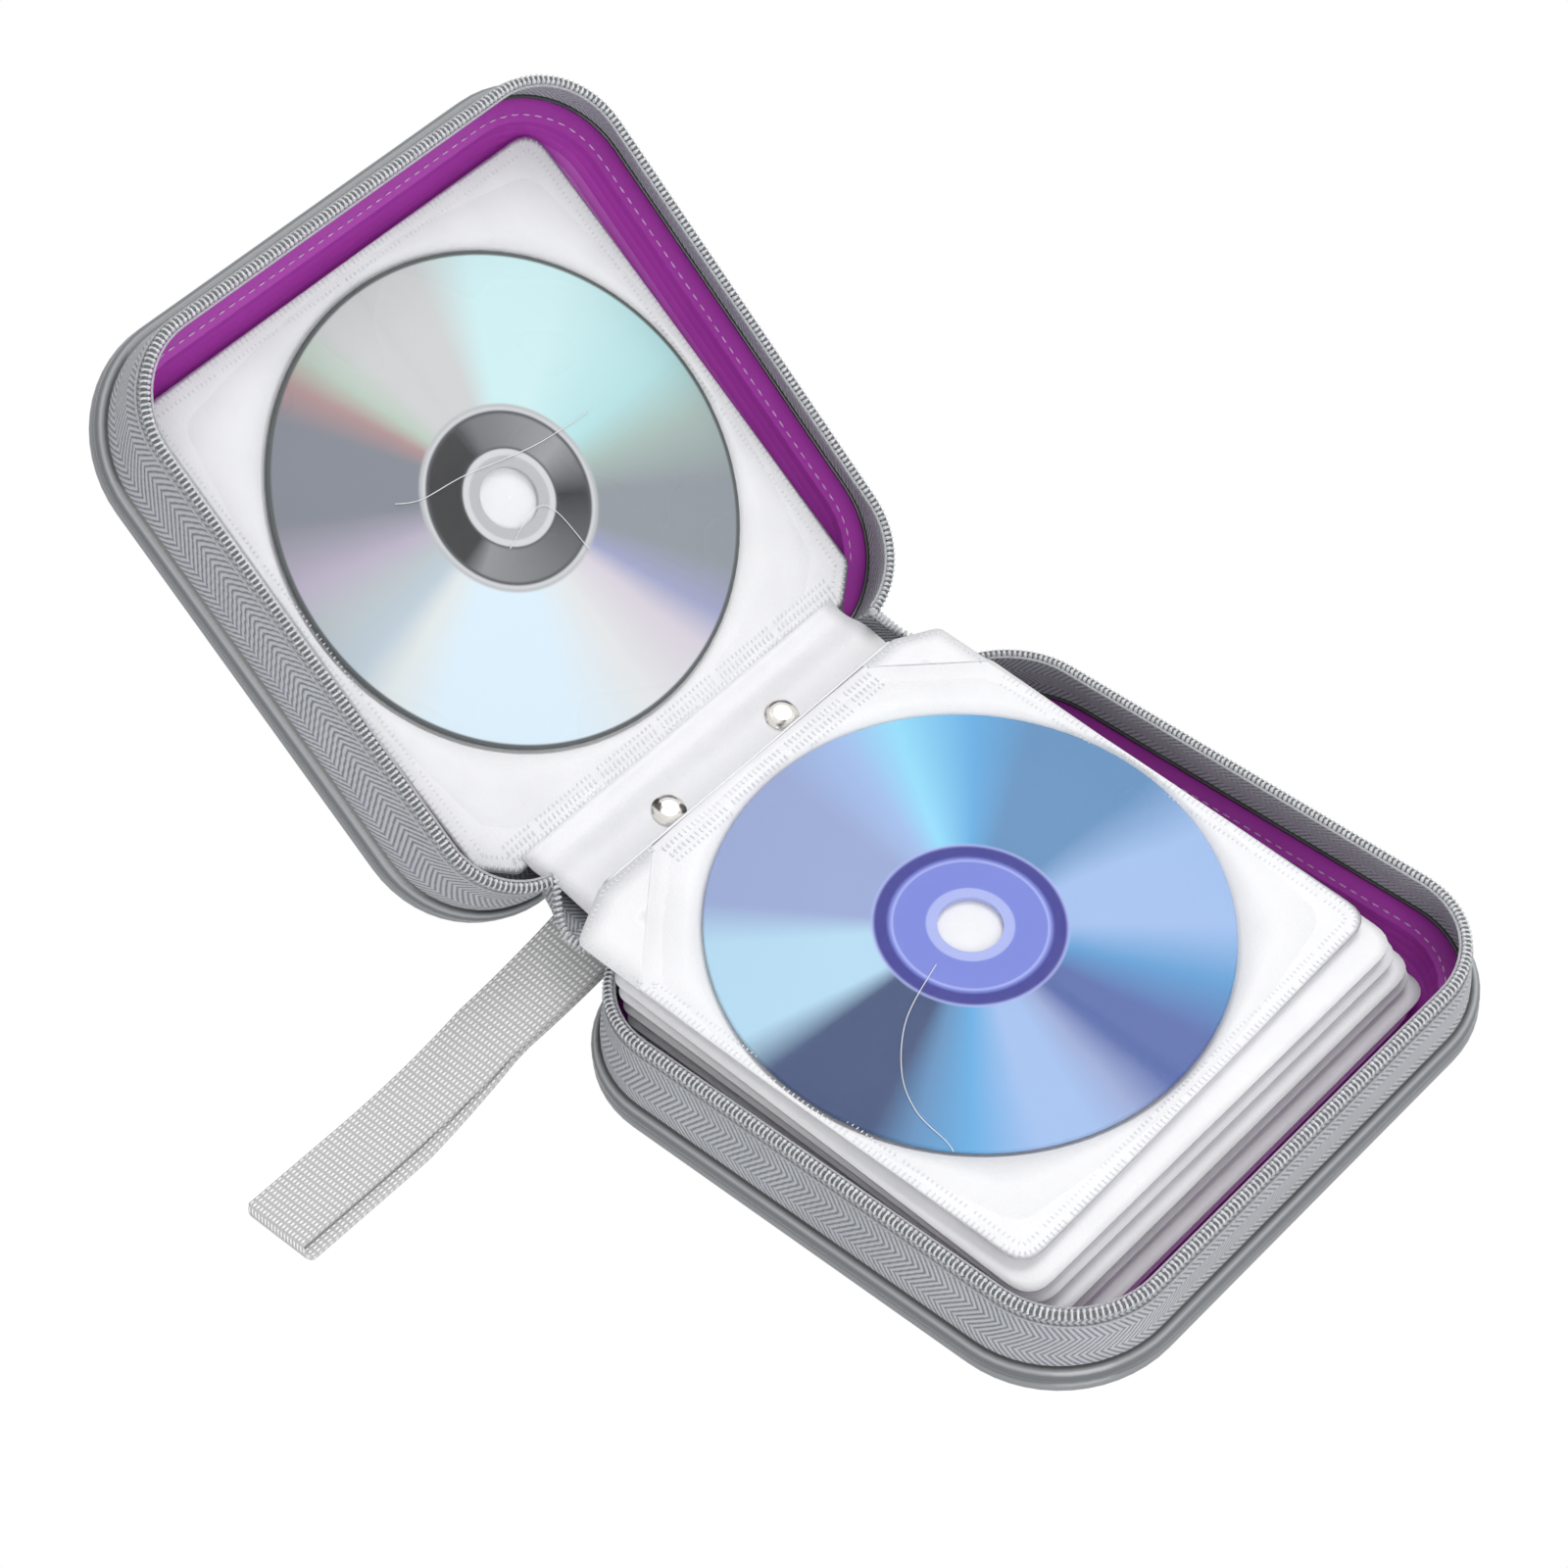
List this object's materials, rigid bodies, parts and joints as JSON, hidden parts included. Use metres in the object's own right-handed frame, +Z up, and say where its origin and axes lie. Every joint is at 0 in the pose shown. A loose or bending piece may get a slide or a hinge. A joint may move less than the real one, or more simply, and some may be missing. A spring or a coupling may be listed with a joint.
{
  "type": "cd storage case",
  "caption": "Zipped disc wallet standing half open: two rounded moulded covers with grey rims and zip walls, white sleeves holding discs, riveted spine, wrist loop.",
  "frame": {"origin": "middle of the back cover's flat outside face, which it rests on", "axes": "+Z up, +Y along the spine away from the wrist loop, +X from the spine over the back cover"},
  "size_m": [0.2978, 0.2319, 0.1434],
  "materials": {
    "purple_shell": "satin moulded foam board",
    "rim_grey": "satin",
    "zip_tape": "woven twill",
    "zip_coil": "satin nylon",
    "grey_cloth": "woven twill",
    "white_film": "soft non-woven film",
    "clear_film": "clear film",
    "silver_disc": "polished with a metal layer",
    "blue_disc": "polished with a blue metal layer",
    "nickel": "polished nickel plate",
    "webbing": "woven webbing"
  },
  "bodies": {
    "back": {"back_shell": "purple_shell", "back_rim": "rim_grey", "back_zip_tape": "zip_tape", "back_zip_coil": "zip_coil", "back_hinge_cloth": "grey_cloth", "back_sleeve_1": "white_film", "back_sleeve_2": "white_film", "back_sleeve_3": "white_film", "back_sleeve_4": "white_film", "back_sleeve_5": "white_film", "back_sleeve_6": "white_film", "back_sleeve_top": "white_film", "back_sleeve_window": "clear_film", "blue_disc": "blue_disc"},
    "spine": {"spine_cloth": "grey_cloth", "sleeve_binding": "white_film", "rivet_near": "nickel", "rivet_far": "nickel", "wrist_strap": "webbing", "zip_slider": "nickel"},
    "front": {"front_shell": "purple_shell", "front_rim": "rim_grey", "front_zip_tape": "zip_tape", "front_zip_coil": "zip_coil", "front_hinge_cloth": "grey_cloth", "front_sleeve_1": "white_film", "front_sleeve_top": "white_film", "front_sleeve_window": "clear_film", "silver_disc": "silver_disc"},
    "pull": {"zip_pull": "nickel"}
  },
  "joints": [
    {"name": "spine_hinge", "type": "hinge", "parent": "back", "child": "spine", "pos_m": [-0.0795, 0, 0.019], "axis": [0, 1, 0], "range_deg": [-15.9, 74.1]},
    {"name": "front_hinge", "type": "hinge", "parent": "spine", "child": "front", "pos_m": [-0.09812, 0, 0.0243], "axis": [0, 1, 0], "range_deg": [-29.9, 60.1]},
    {"name": "pull_swing", "type": "hinge", "parent": "spine", "child": "pull", "pos_m": [-0.09023, 0.0548, 0.01665], "axis": [0.9617, 0, -0.274], "range_deg": [-90, 90]}
  ]
}
